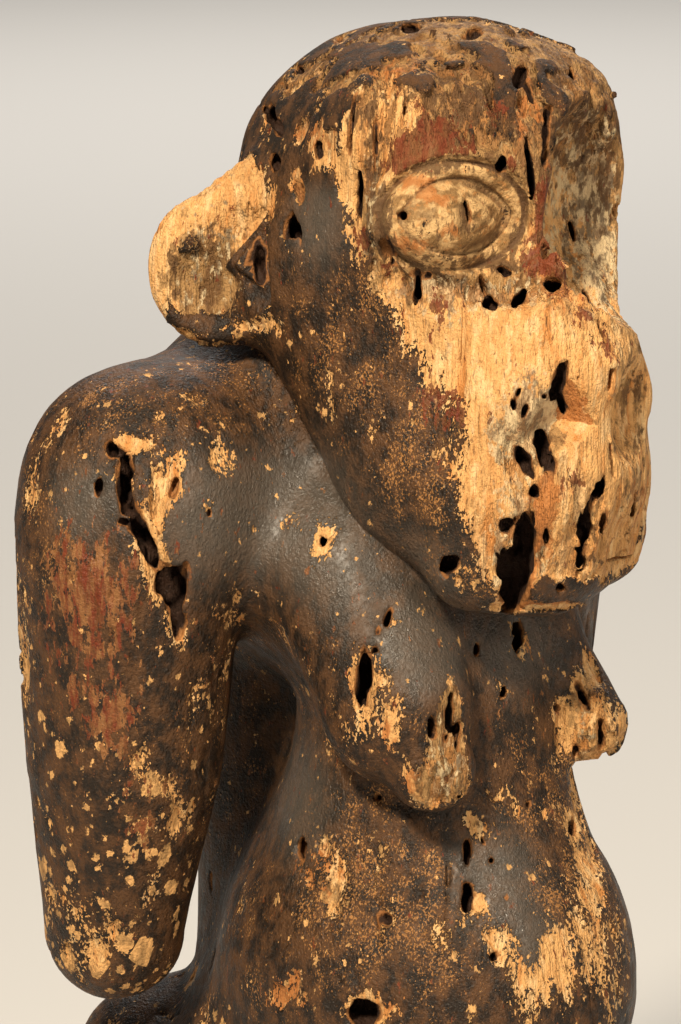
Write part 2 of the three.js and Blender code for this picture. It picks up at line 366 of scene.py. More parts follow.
def grain(seed, across, along=None):
    """A smooth random pattern from -1 to 1, with spots of that size in mm, longer down the fibre."""
    values = np.random.default_rng(seed).uniform(-1, 1, LATTICE**3).astype(np.float32)
    sizes = (across, across, along or across)

    def level(x, y, z):
        cells, rests = [], []
        for value, size in zip((x, y, z), sizes):
            place = value / size + 8 * LATTICE
            cell = np.floor(place).astype(np.int32)
            rest = (place - cell).astype(np.float32)
            cells.append((cell % LATTICE, (cell + 1) % LATTICE))
            share = rest * rest * (3 - 2 * rest)
            rests.append((1 - share, share))
        total = 0
        for a in (0, 1):
            for b in (0, 1):
                row = (cells[0][a] * LATTICE + cells[1][b]) * LATTICE
                weight = rests[0][a] * rests[1][b]
                for c in (0, 1):
                    total = total + weight * rests[2][c] * values[row + cells[2][c]]
        return total

    return level


# The right eye: a bulging almond with a lid band all round it, set in a turned groove. Age has drawn
# fine rings in its outer corner, and it stands clear of the frayed wood round it.
EYE_PIXEL = (454, 213)
EYE_TILT = math.radians(-7)
ORBIT_HALF_WIDTH = 17.6
ORBIT_HALF_HEIGHT = 12.6
LID_HALF_WIDTH = 14.0
LID_HALF_HEIGHT = 9.3
GROOVE_DEPTH = 1.7
GROOVE_WIDTH = 0.75
PIXEL_MM = 0.25

eye_place = under_pixels([EYE_PIXEL])[0]


def almond(across, up, half_width, half_height):
    radius = (half_width**2 + half_height**2) / (2 * half_height)
    lift = radius - half_height
    return np.maximum(np.hypot(across, up + lift), np.hypot(across, up - lift)) - radius


def eye_frame(x, y, z):
    """The place across and up the eye, how far outside its groove and its almond, and if it is near."""
    across, up, out = in_picture(eye_place, x, y, z)
    turned = across * math.cos(EYE_TILT) - up * math.sin(EYE_TILT)
    raised = across * math.sin(EYE_TILT) + up * math.cos(EYE_TILT)
    orbit = (np.hypot(turned / ORBIT_HALF_WIDTH, raised / ORBIT_HALF_HEIGHT) - 1) * ORBIT_HALF_HEIGHT
    lid = almond(turned - 0.6, raised + 0.3, LID_HALF_WIDTH, LID_HALF_HEIGHT)
    near = smooth(26, 20, np.abs(out)) * smooth(5, 2, orbit)
    return turned, raised, orbit, lid, near


def eye_carving(x, y, z):
    """How deep the eye's grooves are cut."""
    turned, raised, orbit, lid, near = eye_frame(x, y, z)
    groove = GROOVE_DEPTH * np.exp(-((orbit / GROOVE_WIDTH) ** 2)) * (0.75 + 0.25 * np.sin(turned * 0.35))
    outer_ring = 0.45 * np.exp(-(((orbit + 1.9) / 0.4) ** 2)) * smooth(-3, -9, turned)
    inside = np.minimum(lid, 0)
    ball = smooth(0.3, -0.3, lid) * (0.15 + 1.3 * np.exp(inside / 2.2))
    rings = 0.36 * (1 + np.sin(inside * 2.6)) * smooth(0, 5, turned) * smooth(0.2, -0.6, lid)
    facet = 1.5 * smooth(-1.5, 3.2, turned) * smooth(3.9, 3.4, turned)
    facet = facet * smooth(4.5, 2.5, np.abs(raised + 1))
    return (groove + outer_ring + ball + rings + facet) * near


# Under the eye, from the temple to the nose, insects have eaten a ragged channel.
CHANNEL_PIXELS = [(392, 276), (425, 284), (470, 292), (505, 287), (545, 282), (580, 284), (600, 300)]
CHANNEL_DEPTH = 4.0
CHANNEL_RADIUS = 2.1
CHANNEL_FRAYING = 2.3

channel_places = under_pixels(CHANNEL_PIXELS)
channel = limb(*[(*place, CHANNEL_RADIUS) for place in channel_places])
channel_raggedness = grain(41, 2.6, 4)


def channel_carving(x, y, z):
    gap = channel(x, y, z) + CHANNEL_FRAYING * channel_raggedness(x, y, z)
    return CHANNEL_DEPTH * smooth(2.4, 0.8, gap)


# The right nostril: a hollow with flat cut sides that meet in its depth, and sharp edges.
NOSTRIL_CORNERS = [(564, 360), (610, 431), (584, 452), (545, 478), (497, 458)]
NOSTRIL_MIDDLE = (559, 417)
NOSTRIL_DEPTH = 11

nostril_corners = under_pixels(NOSTRIL_CORNERS)
nostril_place = under_pixels([NOSTRIL_MIDDLE])[0]
nostril_deepest = nostril_place - NOSTRIL_DEPTH * towards_camera
nostril_sides = []
for corner, neighbour in zip(nostril_corners, np.roll(nostril_corners, -1, axis=0)):
    side = np.cross(corner - nostril_deepest, neighbour - nostril_deepest)
    side *= -np.sign(side @ (nostril_place - nostril_deepest)) / np.linalg.norm(side)
    nostril_sides.append(side)


def nostril_pyramid(x, y, z):
    """Less than zero inside the hollow, which opens outwards."""
    farthest = -1e6
    for side in nostril_sides:
        offsets = (x - nostril_deepest[0], y - nostril_deepest[1], z - nostril_deepest[2])
        farthest = np.maximum(farthest, sum(a * b for a, b in zip(offsets, side)))
    return farthest


# The ear: a thick cupped plate. Its bowl is left round a wedge that points back from the cheek.
EAR_PIXEL = (226, 266)
BOWL_PIXEL = (236, 268)
WEDGE_STANDS = 4.2
ear_wedge_tip = under_pixels([EAR_PIXEL])[0]
bowl_place = under_pixels([BOWL_PIXEL])[0]


def ear_bowl(x, y, z):
    """Less than zero in the bowl, which runs on into the side of the head round the wedge."""
    across, up, out = in_picture(bowl_place, x, y, z)
    return (np.sqrt((across / 10) ** 2 + (up / 10.5) ** 2 + ((out - 3) / 4) ** 2) - 1) * 4


def ear_wedge(x, y, z):
    """Less than zero in the wedge, which stands in the bowl in front of the ear's hole."""
    across, up, out = in_picture(ear_wedge_tip, x, y, z)
    above = up * 0.66 - across * 0.75
    below = -up * 0.79 - across * 0.61
    front = out - WEDGE_STANDS + 0.12 * across
    return np.maximum(np.maximum(above, below), np.maximum(front, -out - 6))


# Where the crust is gone: the front of the face, flakes on the crown, the ears' rims, the nipples and
# scattered patches. Each patch is (pixel across, pixel down, half width, half height, amount).
FACE_EDGE_Z = [284, 300, 320, 345, 360, 375, 395, 415, 430]
FACE_EDGE_Y = [-71, -68, -63, -58, -50, -40, -33, -27, -30]
BARE_PATCHES = [
    (228, 195, 42, 34, 1.8),
    (160, 260, 13, 46, 1.4),
    (208, 275, 38, 40, 1.5),
    (250, 326, 34, 9, 1.1),
    (265, 125, 10, 28, 1.2),
    (300, 134, 10, 18, 1.2),
    (322, 147, 8, 18, 1.1),
    (281, 152, 8, 14, 1.2),
    (299, 191, 6, 18, 1.3),
    (330, 84, 30, 12, 1.3),
    (300, 70, 20, 14, 1.1),
    (292, 100, 14, 18, 0.9),
    (360, 112, 18, 9, 0.8),
    (398, 64, 16, 9, 0.9),
    (440, 50, 18, 8, 0.9),
    (472, 78, 16, 7, 0.9),
    (530, 60, 10, 14, 0.9),
    (397, 120, 24, 60, 1.2),
    (400, 32, 60, 10, 0.8),
    (155, 525, 13, 60, 1.5),
    (228, 460, 12, 16, 0.9),
    (210, 506, 10, 9, 0.9),
    (172, 486, 10, 18, 0.9),
    (262, 482, 6, 7, 0.9),
    (122, 445, 26, 10, 1.0),
    (60, 415, 22, 16, 0.8),
    (10, 560, 7, 70, 1.5),
    (30, 470, 10, 40, 1.0),
    (50, 440, 20, 20, 0.8),
    (22, 680, 6, 60, 0.8),
    (520, 607, 30, 5, 1.6),
    (570, 606, 34, 5, 1.4),
    (430, 795, 18, 16, 1.2),
    (450, 735, 14, 50, 1.5),
    (364, 690, 22, 46, 1.15),
    (395, 720, 16, 30, 0.9),
    (440, 775, 26, 40, 1.6),
    (410, 785, 22, 22, 0.6),
    (588, 725, 34, 44, 1.3),
    (590, 665, 16, 34, 0.9),
    (335, 885, 14, 40, 1.15),
    (300, 980, 34, 34, 0.95),
    (385, 1005, 34, 18, 0.9),
    (548, 962, 38, 34, 1.0),
    (500, 945, 26, 20, 0.6),
    (322, 850, 9, 22, 0.8),
    (306, 880, 16, 14, 0.9),
    (580, 800, 26, 30, 0.6),
    (275, 1000, 20, 18, 0.7),
    (480, 903, 9, 11, 1.3),
    (592, 880, 26, 90, 0.85),
    (625, 960, 20, 70, 0.7),
    (440, 940, 40, 24, 0.5),
    (540, 815, 40, 18, 0.4),
    (95, 930, 60, 40, 0.5),
    (60, 840, 26, 90, 0.45),
    (85, 600, 50, 60, 0.25),
    (455, 575, 16, 20, 0.8),
    (330, 375, 14, 10, 0.5),
    (372, 430, 12, 12, 0.5),
]
CRUST_PATCHES = [
    (385, 52, 34, 18, 1.3),
    (422, 82, 26, 13, 1.6),
    (455, 62, 26, 9, 1.1),
    (472, 42, 16, 9, 1.2),
    (497, 56, 11, 16, 1.6),
    (508, 84, 10, 18, 1.6),
    (547, 64, 15, 9, 1.6),
    (557, 94, 14, 14, 1.6),
    (301, 105, 18, 14, 1.0),
    (344, 102, 26, 12, 1.0),
    (362, 74, 20, 14, 0.9),
    (440, 28, 30, 8, 0.7),
    (524, 42, 18, 8, 0.8),
    (503, 70, 13, 26, 1.3),
    (556, 95, 10, 14, 1.3),
    (548, 62, 12, 9, 1.3),
    (400, 80, 16, 12, 1.2),
    (345, 60, 16, 12, 0.9),
    (378, 92, 12, 8, 1.0),
    (330, 122, 9, 10, 0.9),
    (560, 592, 50, 14, 2.2),
    (598, 600, 30, 12, 1.6),
    (455, 545, 22, 50, 0.9),
    (455, 420, 14, 40, 0.5),
    (192, 322, 22, 7, 1.0),
]
RED_PATCHES = [
    (424, 146, 26, 16, 1.5),
    (440, 124, 18, 16, 1.4),
    (405, 168, 16, 12, 1.3),
    (493, 110, 12, 12, 1.1),
    (470, 148, 8, 8, 0.8),
    (512, 165, 7, 10, 1.1),
    (543, 222, 10, 36, 1.8),
    (536, 262, 16, 12, 1.2),
    (562, 272, 14, 20, 0.9),
    (590, 300, 10, 30, 0.7),
    (437, 306, 8, 28, 0.9),
    (362, 240, 8, 16, 1.1),
    (393, 270, 10, 10, 1.0),
    (430, 400, 12, 26, 0.6),
    (450, 410, 20, 20, 0.6),
    (575, 478, 12, 14, 1.0),
    (90, 600, 46, 62, 1.1),
    (110, 722, 20, 34, 1.0),
    (72, 700, 16, 22, 0.6),
    (140, 810, 18, 44, 0.6),
    (610, 350, 10, 30, 0.5),
]
# Where the crust is worn smooth and polished: it is glossier there, and its colour is lifted to a grey
# painted sheen.
POLISH_AND_SHEEN_PATCHES = [
    (80, 500, 34, 40, 1.0),
    (545, 955, 30, 30, 1.2),
    (300, 800, 40, 70, 0.9),
    (430, 660, 40, 40, 0.6),
    (210, 520, 60, 70, 1.0),
    (300, 500, 60, 60, 1.0),
    (330, 570, 50, 60, 0.7),
    (430, 640, 60, 50, 0.8),
    (520, 650, 40, 50, 1.0),
    (500, 880, 50, 60, 0.9),
    (420, 560, 40, 40, 0.6),
    (318, 215, 30, 50, 1.1),
]
# Where the fine worn specks are thicker. The two rows below zero, on the lower arm, thin them so that it
# reads darker: painted shade.
SPECKLED_PATCHES = [
    (350, 330, 60, 70, 0.8),
    (420, 470, 40, 90, 1.0),
    (470, 570, 50, 40, 0.8),
    (160, 400, 90, 40, 0.8),
    (60, 520, 40, 80, 0.6),
    (120, 760, 70, 120, -0.5),
    (110, 900, 80, 60, -0.4),
    (560, 800, 60, 60, 0.7),
    (330, 860, 60, 120, 0.8),
    (560, 900, 60, 90, 1.0),
    (420, 900, 70, 80, 0.7),
]
PALE_PATCHES = [
    (585, 190, 26, 60, 0.7),
    (606, 250, 14, 40, 0.9),
    (530, 414, 22, 32, 1.5),
    (505, 440, 16, 24, 1.2),
    (520, 510, 24, 30, 0.9),
    (500, 560, 8, 40, 0.9),
    (446, 765, 20, 50, 0.8),
    (585, 740, 12, 30, 0.7),
    (545, 565, 14, 20, 0.8),
    (420, 212, 22, 16, 0.9),
    (410, 184, 12, 8, 1.0),
    (430, 285, 50, 12, 0.8),
    (505, 292, 50, 16, 0.8),
    (440, 312, 30, 20, 0.5),
    (372, 205, 9, 50, 0.9),
    (210, 260, 40, 50, 0.5),
]
WEATHERED_PATCHES = [
    (398, 118, 24, 50, -1.5),
    (350, 140, 16, 40, -0.8),
    (420, 50, 120, 44, 0.7),
    (510, 110, 60, 60, 1.2),
    (600, 160, 44, 110, 0.7),
    (560, 160, 20, 60, 1.0),
    (372, 200, 10, 80, 1.1),
    (456, 214, 66, 50, 0.75),
    (490, 284, 100, 18, 0.9),
    (630, 420, 24, 140, 0.45),
    (545, 450, 36, 40, 0.4),
    (590, 530, 60, 40, -0.5),
    (445, 750, 26, 60, 1.4),
    (590, 720, 30, 50, 0.45),
    (208, 276, 36, 38, 1.6),
    (350, 900, 120, 120, 0.4),
]
GLAZED_PATCHES = [
    (434, 196, 18, 9, 1.2),
    (410, 180, 18, 8, 1.3),
    (452, 228, 10, 8, 0.9),
    (402, 244, 22, 8, 1.2),
    (546, 250, 18, 26, 0.9),
    (572, 292, 26, 18, 0.9),
    (548, 520, 10, 40, 1.0),
    (530, 560, 10, 50, 1.2),
    (540, 600, 50, 8, 1.3),
    (400, 70, 40, 20, 0.5),
    (310, 130, 40, 30, 0.6),
    (520, 100, 40, 40, 0.6),
    (640, 500, 14, 50, 0.4),
    (556, 488, 26, 12, 0.8),
    (312, 866, 26, 34, 1.0),
    (280, 990, 40, 40, 0.9),
    (400, 990, 40, 30, 0.6),
    (384, 740, 16, 30, 0.8),
    (410, 780, 20, 14, 0.9),
]
STAINED_PATCHES = [
    (455, 112, 40, 16, 0.6),
    (470, 92, 60, 12, 0.5),
    (372, 150, 7, 50, 0.9),
    (352, 110, 6, 30, 0.6),
    (430, 163, 44, 5, 0.7),
    (505, 128, 16, 22, 0.6),
    (212, 226, 22, 5, 1.0),
    (171, 262, 5, 20, 1.1),
    (176, 292, 5, 18, 0.9),
    (215, 319, 26, 4, 0.9),
    (240, 232, 10, 10, 0.9),
    (455, 236, 50, 18, 0.4),
    (523, 198, 4, 26, 1.1),
    (515, 242, 5, 18, 1.1),
    (498, 263, 16, 6, 1.1),
    (430, 170, 40, 5, 0.8),
    (384, 200, 8, 20, 0.9),
    (386, 248, 8, 24, 1.1),
    (480, 262, 90, 8, 0.6),
    (595, 130, 40, 40, 0.6),
    (600, 215, 16, 36, 0.7),
    (552, 140, 10, 50, 0.9),
    (380, 230, 8, 40, 0.7),
    (640, 420, 10, 110, 0.4),
    (600, 562, 40, 6, 0.8),
    (596, 520, 8, 30, 0.6),
    (170, 385, 90, 30, 0.6),
    (612, 590, 20, 20, 0.6),
]
SPLINTERED_PATCHES = [
    (392, 130, 32, 60, 1.3),
    (420, 60, 90, 40, 0.7),
    (372, 220, 12, 60, 0.8),
    (480, 120, 50, 30, 1.2),
    (522, 105, 30, 40, 0.8),
    (490, 290, 100, 16, 1.3),
    (590, 120, 40, 60, 0.9),
    (595, 290, 24, 40, 0.8),
    (520, 440, 26, 40, 0.9),
    (530, 540, 50, 60, 1.0),
    (610, 540, 50, 60, 0.8),
    (290, 110, 50, 60, 0.8),
    (230, 200, 40, 26, 0.25),
    (155, 525, 20, 60, 1.0),
    (364, 690, 24, 40, 0.8),
    (443, 765, 26, 50, 1.2),
    (588, 725, 34, 44, 1.0),
]


def patches(rows):
    """Adds up soft spots that lie on the wood under pixels of the photograph."""
    places = under_pixels([row[:2] for row in rows])

    def amount(x, y, z):
        total = 0
        for place, (_, _, half_width, half_height, weight) in zip(places, rows):
            across, up, out = in_picture(place, x, y, z)
            width, height = half_width * PIXEL_MM, half_height * PIXEL_MM
            depth = width + height
            spread = (across / width) ** 2 + (up / height) ** 2 + (out / depth) ** 2
            total = total + weight * np.exp(-spread)
        return total

    return amount


bare_spots = patches(BARE_PATCHES)
crust_spots = patches(CRUST_PATCHES)
red_spots = patches(RED_PATCHES)
polish_and_sheen_spots = patches(POLISH_AND_SHEEN_PATCHES)
speckled_spots = patches(SPECKLED_PATCHES)
pale_spots = patches(PALE_PATCHES)
weathered_spots = patches(WEATHERED_PATCHES)
stained_spots = patches(STAINED_PATCHES)
glazed_spots = patches(GLAZED_PATCHES)
splintered_spots = patches(SPLINTERED_PATCHES)
large_flakes = grain(11, 9, 15)
middle_flakes = grain(12, 4.2, 8)
small_flakes = grain(13, 2.1, 4)
regions = grain(14, 26, 40)


def face_front(x, y, z):
    return smooth(-8, 8, np.interp(z, FACE_EDGE_Z, FACE_EDGE_Y).astype(np.float32) - y) * smooth(
        282, 290, z
    )


def bareness(x, y, z):
    """Above zero where the crust is gone."""
    total = -0.80 + 1.5 * face_front(x, y, z)
    total = total + 0.40 * smooth(398, 424, z) - 0.35 * smooth(404, 420, z) * face_front(x, y, z)
    total = total + bare_spots(x, y, z) - crust_spots(x, y, z)
    side = -np.abs(x)
    total = total + 0.9 * smooth(3, -3, ear_plate(side, y, z)) * smooth(1, 5, ear_dish(side, y, z))
    hidden = smooth(0, 30, x) * smooth(-20, -50, y)
    total = total + 0.8 * hidden * np.exp(-(((x - 29) / 12) ** 2 + ((z - 252) / 12) ** 2))
    total = total - 3 * smooth(0.8, -0.4, ear_wedge(x, y, z)) * smooth(-24, -30, x)
    total = total + 0.35 * smooth(150, 20, z)
    total = total + 0.34 * regions(x, y, z)
    total = total + 0.42 * large_flakes(x, y, z)
    broken_up = 1 + 0.9 * smooth(392, 410, z)
    return total + broken_up * (0.46 * middle_flakes(x, y, z) + 0.34 * small_flakes(x, y, z))


# Wear cut into the form: carving facets, the step down from crust to bare wood, chips that came off
# in layers, grooves where the soft wood between the fibres has gone, and fine drying cracks.
CRUST_THICKNESS = 0.65
LEAST_CUT = 0.3
facets = grain(21, 13, 17)
small_facets = grain(22, 5.5, 8)
fibres = grain(23, 1.7, 20)
fine_fibres = grain(24, 0.95, 9)
crack_lines = grain(25, 7, 70)
crack_places = grain(26, 20, 60)
chips = grain(27, 3.6, 14)
small_chips = grain(28, 1.9, 6)
hollow_folds = grain(29, 7.5, 11)
hollow_lumps = grain(33, 3.4, 4)
pits = grain(30, 1.7, 3)


def eaten_hollow(x, y, z):
    """How far a place lies in the hollow where the left eye was."""
    return smooth(6, 2, eaten_eye(x, y, z)) * smooth(-4, 4, x)


def worn(x, y, z, d):
    """The distance to the carved form, moved inwards by the wear."""
    gone = smooth(-0.08, 0.10, bareness(x, y, z))
    face = face_front(x, y, z)
    _, _, orbit, _, beside_eye = eye_frame(x, y, z)
    calm = 1 - 0.9 * beside_eye
    depth = LEAST_CUT + 0.5 * (1 - 0.5 * face) * (1 + facets(x, y, z))
    depth = depth + 0.2 * calm * (1 + small_facets(x, y, z))
    depth = depth + gone * CRUST_THICKNESS
    depth = depth + gone * calm * 0.34 * smooth(0.42, 0, np.abs(fibres(x, y, z)))
    depth = depth + gone * (0.3 + 0.7 * calm) * 0.11 * (1 + fine_fibres(x, y, z))
    depth = depth + gone * calm * 0.5 * smooth(0.52, 0.66, pits(x, y, z))
    layers = chips(x, y, z) + 0.45 * small_chips(x, y, z)
    flaked = 1.2 * smooth(-0.03, 0.03, layers) + 1.4 * smooth(0.34, 0.38, layers)
    depth = depth + gone * calm * np.minimum(splintered_spots(x, y, z), 1.3) * flaked
    folded = 3.4 * (1 - 1.5 * np.abs(hollow_folds(x, y, z))) + 1.6 * (1 - np.abs(hollow_lumps(x, y, z)))
    depth = depth + eaten_hollow(x, y, z) * folded
    cracks = smooth(0.055, 0.0, np.abs(crack_lines(x, y, z))) * smooth(
        0.25, 0.5, crack_places(x, y, z)
    )
    depth = depth + 1.3 * cracks * calm
    depth = depth + eye_carving(x, y, z) + channel_carving(x, y, z) * smooth(0.3, 1.8, orbit)
    return d + depth * smooth(0, 3, z)


# The holes that insects made, which widen behind their mouths along the fibre. Each is (pixel across,
# pixel down, width, height, lean in degrees, depth in mm) as the photograph shows its mouth.
CROWN_HOLES = [
    (411, 27, 16, 10, 20, 4),
    (472, 32, 18, 9, -35, 3),
    (272, 117, 11, 36, -28, 7),
    (281, 84, 8, 14, -30, 4),
    (300, 70, 6, 20, -35, 3),
    (339, 39, 10, 14, -50, 3),
    (274, 161, 8, 14, -10, 4),
    (319, 151, 7, 16, -10, 3),
    (293, 232, 12, 28, -6, 8),
    (298, 190, 9, 22, -12, 2.5),
    (360, 192, 5, 36, 0, 6),
    (573, 74, 7, 20, 8, 5),
    (520, 78, 10, 24, 25, 4),
    (549, 112, 8, 14, 15, 4),
    (548, 122, 6, 30, 12, 3),
    (530, 92, 5, 26, -24, 4),
    (548, 144, 6, 34, 8, 4),
    (350, 128, 4, 56, 5, 4),
    (375, 140, 3, 44, -3, 3),
    (404, 112, 3, 30, 8, 2.5),
]
EYE_HOLES = [
    (254, 262, 5, 26, -6, 6),
    (418, 288, 9, 31, -4, 7),
    (428, 275, 6, 6, 0, 3),
    (403, 215, 8, 9, 0, 4),
    (468, 212, 6, 23, -6, 5),
    (501, 163, 10, 14, 0, 7),
    (530, 172, 5, 40, -8, 7),
    (545, 252, 6, 10, 0, 5),
    (505, 271, 16, 7, 25, 4),
    (551, 284, 17, 9, -12, 6),
    (519, 297, 9, 20, 38, 7),
    (489, 304, 13, 10, 20, 5),
    (483, 286, 5, 18, -20, 4),
    (586, 297, 6, 26, -20, 5),
    (572, 232, 4, 18, -15, 3),
    (385, 250, 10, 20, -20, 3),
]
MOUTH_HOLES = [
    (557, 385, 11, 30, 20, 6),
    (563, 404, 7, 22, -22, 5),
    (542, 448, 13, 42, -11, 8),
    (549, 462, 11, 16, -11, 7),
    (524, 461, 10, 24, -26, 6),
    (545, 397, 5, 5, 0, 3),
    (525, 411, 5, 10, 20, 4),
    (519, 392, 5, 11, 15, 4),
    (513, 405, 5, 8, 0, 4),
    (534, 492, 9, 9, 0, 6),
    (600, 488, 10, 18, 10, 6),
    (587, 535, 12, 52, 10, 8),
    (604, 526, 6, 24, 6, 5),
    (524, 545, 22, 46, 4, 13),
    (516, 580, 28, 62, 12, 14),
    (509, 606, 16, 24, 10, 9),
    (447, 564, 16, 20, 0, 6),
    (506, 527, 12, 10, 0, 5),
    (560, 588, 9, 8, 0, 4),
    (547, 537, 6, 16, 0, 5),
    (619, 559, 36, 3, -8, 2.5),
    (603, 335, 4, 30, -16, 3),
    (611, 372, 3, 26, 6, 2.5),
    (612, 455, 3, 34, -6, 2.5),
    (636, 505, 6, 24, 4, 3),
    (642, 560, 8, 20, 4, 4),
]
SHOULDER_HOLES = [
    (125, 484, 14, 60, -3, 10),
    (112, 450, 14, 12, 40, 4),
    (98, 489, 9, 18, 0, 4),
    (146, 543, 13, 52, -24, 10),
    (172, 588, 26, 44, 0, 13),
    (177, 616, 12, 44, 0, 8),
    (124, 522, 12, 6, 0, 6),
    (323, 542, 9, 11, 10, 6),
    (210, 512, 5, 10, 0, 3),
    (175, 487, 6, 18, 10, 2.5),
]
BREAST_HOLES = [
    (364, 676, 13, 50, 6, 9),
    (389, 616, 6, 18, 20, 5),
    (375, 649, 6, 8, 0, 4),
    (378, 632, 4, 12, 10, 3),
    (449, 714, 8, 42, 5, 7),
    (432, 730, 6, 16, 0, 5),
    (458, 735, 6, 20, 5, 5),
    (519, 637, 10, 30, 0, 6),
    (477, 649, 6, 12, 0, 4),
    (504, 693, 8, 16, 0, 5),
    (582, 696, 7, 26, -25, 5),
    (602, 740, 8, 26, 0, 5),
    (575, 752, 7, 14, 0, 4),
    (556, 708, 6, 10, 0, 4),
]
BELLY_HOLES = [
    (302, 850, 8, 24, 8, 5),
    (467, 853, 6, 22, 0, 5),
    (483, 841, 4, 16, -25, 4),
    (492, 860, 6, 7, 0, 4),
    (467, 899, 9, 28, 4, 6),
    (507, 897, 5, 7, 0, 4),
    (386, 918, 9, 10, 0, 4),
    (380, 900, 2.5, 60, 2, 2.5),
    (447, 900, 2, 70, 3, 2),
    (574, 826, 8, 12, 0, 4),
    (529, 805, 5, 6, 0, 3),
    (494, 957, 5, 7, 0, 4),
    (361, 1013, 26, 26, 30, 7),
    (378, 798, 6, 6, 0, 3),
]
WIDENED = 1.2
STRAY_HOLES = 260
STRAY_SEED = 71
holes = []


def drill(centre, across, along, inward):
    """Keeps a hole by its middle and its three half axes, which needn't be square to each other."""
    holes.append((centre, np.array([across, along, inward]).T))


def slope_of(points):
    """The way out of the wood at points of the form."""
    step = 0.5
    parts = []
    for axis in range(3):
        ahead, behind = points.copy(), points.copy()
        ahead[:, axis] += step
        behind[:, axis] -= step
        parts.append(form(*ahead.T) - form(*behind.T))
    slopes = np.array(parts).T
    return slopes / np.linalg.norm(slopes, axis=1)[:, None]


named_holes = CROWN_HOLES + EYE_HOLES + MOUTH_HOLES + SHOULDER_HOLES + BREAST_HOLES + BELLY_HOLES
DEEPEST_WEAR = 12
WORN_STEPS = 60


def on_wood(points):
    """Points moved along the camera's line of sight until they lie on the worn and cut wood."""
    rays = points - camera_place
    rays /= np.linalg.norm(rays, axis=1)[:, None]
    points = points - DEEPEST_WEAR * rays
    for _ in range(WORN_STEPS):
        x, y, z = points.T
        level = worn(x, y, z, form(x, y, z))
        beside_nostril = np.linalg.norm(points - nostril_place, axis=1) < 18
        level = np.where(beside_nostril, np.maximum(level, -nostril_pyramid(x, y, z)), level)
        points = points + rays * (0.6 * np.clip(level, -4, 4))[:, None]
    return points


def laid(places, half_axes):
    """Half axes of the holes' mouths, tilted to lie along the wood."""
    lengths = np.linalg.norm(half_axes, axis=1)
    drops = (on_wood(places + half_axes) - on_wood(places - half_axes)) @ towards_camera / 2
    return half_axes + np.clip(drops, -1.2 * lengths, 1.2 * lengths)[:, None] * towards_camera


sizes = np.array(named_holes)
hole_places = on_wood(under_pixels(sizes[:, :2]))
inwards = -slope_of(hole_places) - towards_camera
inwards /= np.linalg.norm(inwards, axis=1)[:, None]
turns = np.radians(sizes[:, 4])
half_widths = WIDENED * PIXEL_MM * sizes[:, 2] / 2
half_heights = WIDENED * PIXEL_MM * sizes[:, 3] / 2
rights = np.outer(half_widths * np.cos(turns), picture_right)
rights -= np.outer(half_widths * np.sin(turns), picture_up)
ups = np.outer(half_heights * np.sin(turns), picture_right)
ups += np.outer(half_heights * np.cos(turns), picture_up)
for place, across, along, inward, depth in zip(
    hole_places, laid(hole_places, rights), laid(hole_places, ups), inwards, sizes[:, 5]
):
    drill(place + 0.1 * depth * inward, across, along, inward * depth)
    if depth >= 5:
        drill(place + (0.55 * depth + 1) * inward, across * 1.35, along * 1.05, inward * depth * 0.5)

# Stray holes are thrown at the form from all round. Those that would land on the side that the
# photograph shows, or on a thin ear, are left out.
chance = np.random.default_rng(STRAY_SEED)
for _ in range(STRAY_HOLES):
    height = chance.uniform(24, 425)
    side = chance.uniform(0, 2 * math.pi)
    way = np.array([math.cos(side), math.sin(side), chance.uniform(-0.4, 0.4)])
    spot = np.array([0, 0, height]) + 140 * way
    for _ in range(24):
        spot = spot - way * 0.8 * float(form(*spot))
    width = chance.uniform(0.7, 1.6)
    length = width * chance.uniform(1, 4)
    depth = chance.uniform(2, 6)
    bending = chance.uniform(-0.25, 0.25)
    if abs(float(form(*spot))) > 1 or way @ towards_camera > 0.35:
        continue
    if float(ear_plate(-abs(spot[0]), spot[1], spot[2])) < 3:
        continue
    sideways = np.cross(way, (0, 0, 1))
    sideways /= np.linalg.norm(sideways)
    drill(spot, sideways * width, np.array([bending, 0, 1]) * length, -way * depth)

ragged = grain(31, 1.5, 3)
jagged = grain(32, 3.6, 8)


def edge_noise(hole, x, y, z):
    """How far the hole's ragged side departs from its smooth one."""
    size = min(np.linalg.norm(hole[1], axis=0).min() / 1.6, 1.6)
    return size * (0.75 * ragged(x, y, z) + 0.6 * jagged(x, y, z))


def hole_distance(hole, x, y, z):
    centre, axes = hole
    offsets = np.stack([x - centre[0], y - centre[1], z - centre[2]], -1)
    local = offsets @ np.linalg.inv(axes).T
    near = np.linalg.norm(local, axis=-1)
    narrowest = np.linalg.norm(axes, axis=0).min()
    return (near - 1) * narrowest


def hole_reach(hole):
    centre, axes = hole
    return np.sqrt((axes**2).sum(1))


# The skin: the wood of the head and of the body is sampled on a fine grid each, near the form's surface
# only, the holes are cut out, and each is wrapped in a mesh, which is thinned to leave most of its faces
# on the details. The two are then joined into one closed skin.
HEAD_ROOM = ((-72.0, -92.0, 268.0), (72.0, 52.0, 441.0))
HEAD_CELL = 0.56
HEAD_FACES = 103000
BODY_ROOM = ((-99.2, -92.0, -2.4), (99.2, 88.0, 400.0))
BODY_CELL = 0.8
BODY_FACES = 83000
BRICK = 5
FAR = 4.0
HEAD_WEAR = 7.0
BODY_WEAR = 4.5
THREADS = 4


def in_shares(work, *arrays):
    """Works through long arrays in shares, a few at a time."""
    shares = [np.array_split(array, 8 * THREADS) for array in arrays]
    with ThreadPoolExecutor(THREADS) as pool:
        return np.concatenate(list(pool.map(work, *shares)))


def worn_wood(wood, deepest):
    """Gives a form's distance after the wear, where that is near its surface."""

    def distance(x, y, z):
        level = wood(x, y, z).astype(np.float32)
        near = (level > -deepest) & (level < 1.5)
        level[near] = worn(x[near], y[near], z[near], level[near])
        return level

    return distance


